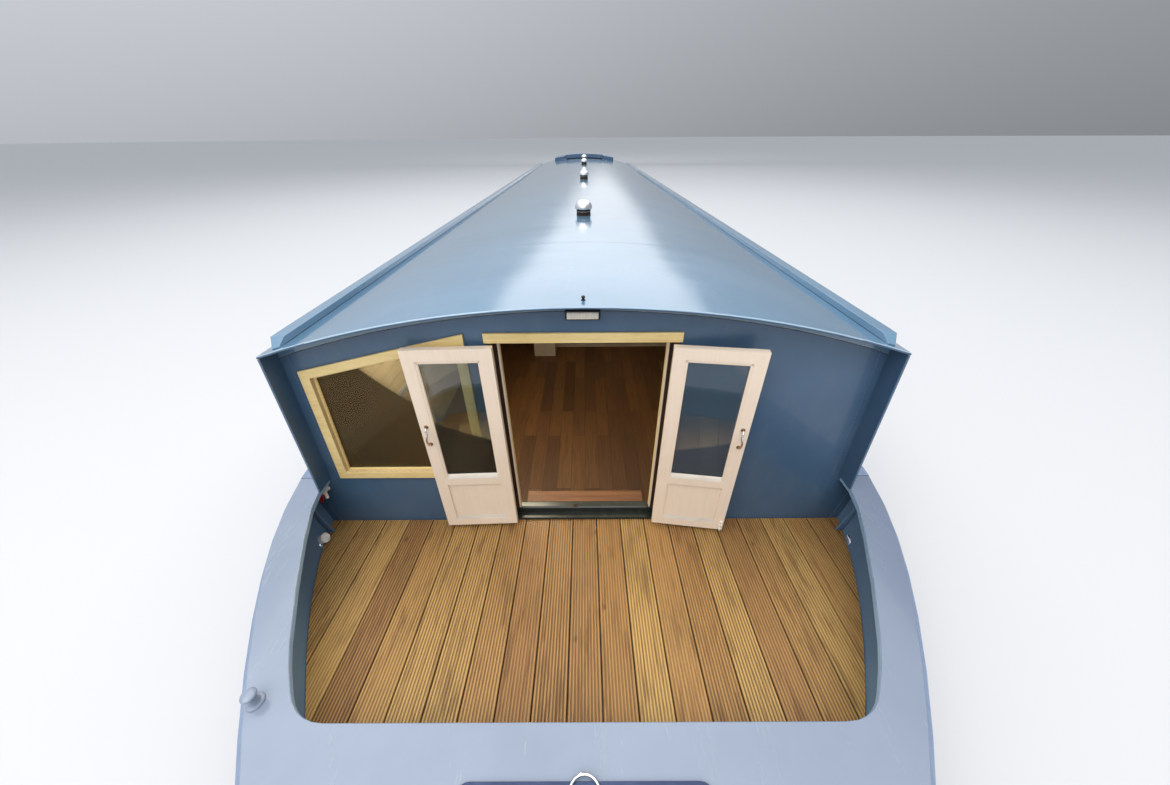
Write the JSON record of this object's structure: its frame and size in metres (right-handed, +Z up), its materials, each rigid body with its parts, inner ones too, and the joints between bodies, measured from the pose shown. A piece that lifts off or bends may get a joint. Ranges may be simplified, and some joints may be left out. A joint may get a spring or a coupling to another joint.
{
  "type": "widebeam canal boat",
  "caption": "Steel widebeam canal boat with a cambered full-length roof, an open bow well with timber decking, half-glazed front doors, sliding aft hatch, rudder and propeller.",
  "frame": {"origin": "middle of the underside of the baseplate: middle of the overall length and beam, at the bottom", "axes": "the bow points along -Y, port is +X, +Z is up"},
  "size_m": [3.418, 17.375, 2.3853],
  "materials": {
    "roof_blue": "gloss enamel",
    "hull_blue": "gloss enamel",
    "wall_blue": "gloss enamel",
    "blacking": "matt bitumen paint",
    "navy": "satin non-slip paint",
    "cream": "painted satin",
    "off_white": "painted satin",
    "decking": "grooved softwood, oiled",
    "oak": "stained oak planks",
    "tread": "varnished",
    "laminate": "satin laminate",
    "sill": "satin",
    "glass": "clear",
    "steel": "polished",
    "bronze": "cast and polished",
    "engine": "painted"
  },
  "bodies": {
    "boat": {"baseplate": "blacking", "hull_bow": "hull_blue", "hull_floor": "blacking", "hull_side_port": "hull_blue", "hull_side_starboard": "hull_blue", "hull_stern": "hull_blue", "foredeck": "hull_blue", "cabin_side_port": "wall_blue", "cabin_side_starboard": "wall_blue", "side_glass_port_1": "glass", "side_glass_port_2": "glass", "side_glass_port_3": "glass", "side_glass_starboard_1": "glass", "side_glass_starboard_2": "glass", "side_glass_starboard_3": "glass", "front_bulkhead": "wall_blue", "aft_bulkhead": "wall_blue", "roof": "roof_blue", "handrail_port": "roof_blue", "handrail_starboard": "roof_blue", "door_frame": "cream", "door_threshold": "sill", "window_frame": "cream", "window_glass": "glass", "roof_vent_1": "steel", "roof_vent_2": "steel", "roof_vent_3": "steel", "roof_vent_4": "steel", "hatch_coaming": "wall_blue", "cabin_floor": "oak", "inside_step": "tread", "window_counter": "tread", "galley_unit": "laminate", "bow_dolly": "hull_blue", "stern_dolly_port": "hull_blue", "stern_dolly_starboard": "hull_blue", "decking": "decking", "engine_block": "engine"},
    "front_door_starboard_leaf": {"front_door_starboard": "off_white", "door_glass_starboard": "glass"},
    "front_door_port_leaf": {"front_door_port": "off_white", "door_glass_port": "glass"},
    "aft_door_starboard_leaf": {"aft_door_starboard": "wall_blue"},
    "aft_door_port_leaf": {"aft_door_port": "wall_blue"},
    "hatch": {"sliding_hatch": "navy"},
    "lid": {"locker_lid": "navy"},
    "rudder_and_tiller": {"rudder": "blacking"},
    "screw": {"propeller": "bronze"}
  },
  "joints": [
    {"name": "front_door_starboard_hinge", "type": "hinge", "parent": "boat", "child": "front_door_starboard_leaf", "pos_m": [-0.425, -6.0933, 1.436], "axis": [0, 0, 1], "range_deg": [0, 178]},
    {"name": "front_door_port_hinge", "type": "hinge", "parent": "boat", "child": "front_door_port_leaf", "pos_m": [0.425, -6.0933, 1.436], "axis": [0, 0, -1], "range_deg": [0, 172]},
    {"name": "aft_door_starboard_hinge", "type": "hinge", "parent": "boat", "child": "aft_door_starboard_leaf", "pos_m": [-0.334, 7.0613, 1.69], "axis": [0, 0, 1], "range_deg": [0, 170]},
    {"name": "aft_door_port_hinge", "type": "hinge", "parent": "boat", "child": "aft_door_port_leaf", "pos_m": [0.334, 7.0613, 1.69], "axis": [0, 0, -1], "range_deg": [0, 170]},
    {"name": "hatch_slide", "type": "slide", "parent": "boat", "child": "hatch", "axis": [0, -1, 0], "range_m": [0, 0.5]},
    {"name": "locker_lid_hinge", "type": "hinge", "parent": "boat", "child": "lid", "pos_m": [0, -8.091, 1.181], "axis": [1, 0, 0], "range_deg": [0, 100]},
    {"name": "rudder_steering", "type": "hinge", "parent": "boat", "child": "rudder_and_tiller", "pos_m": [0, 8.285, 0.8], "axis": [0, 0, 1], "range_deg": [-35, 35]},
    {"name": "propeller_spin", "type": "hinge", "parent": "boat", "child": "screw", "pos_m": [0, 8.055, 0.33], "axis": [0, 1, 0], "continuous": true}
  ]
}
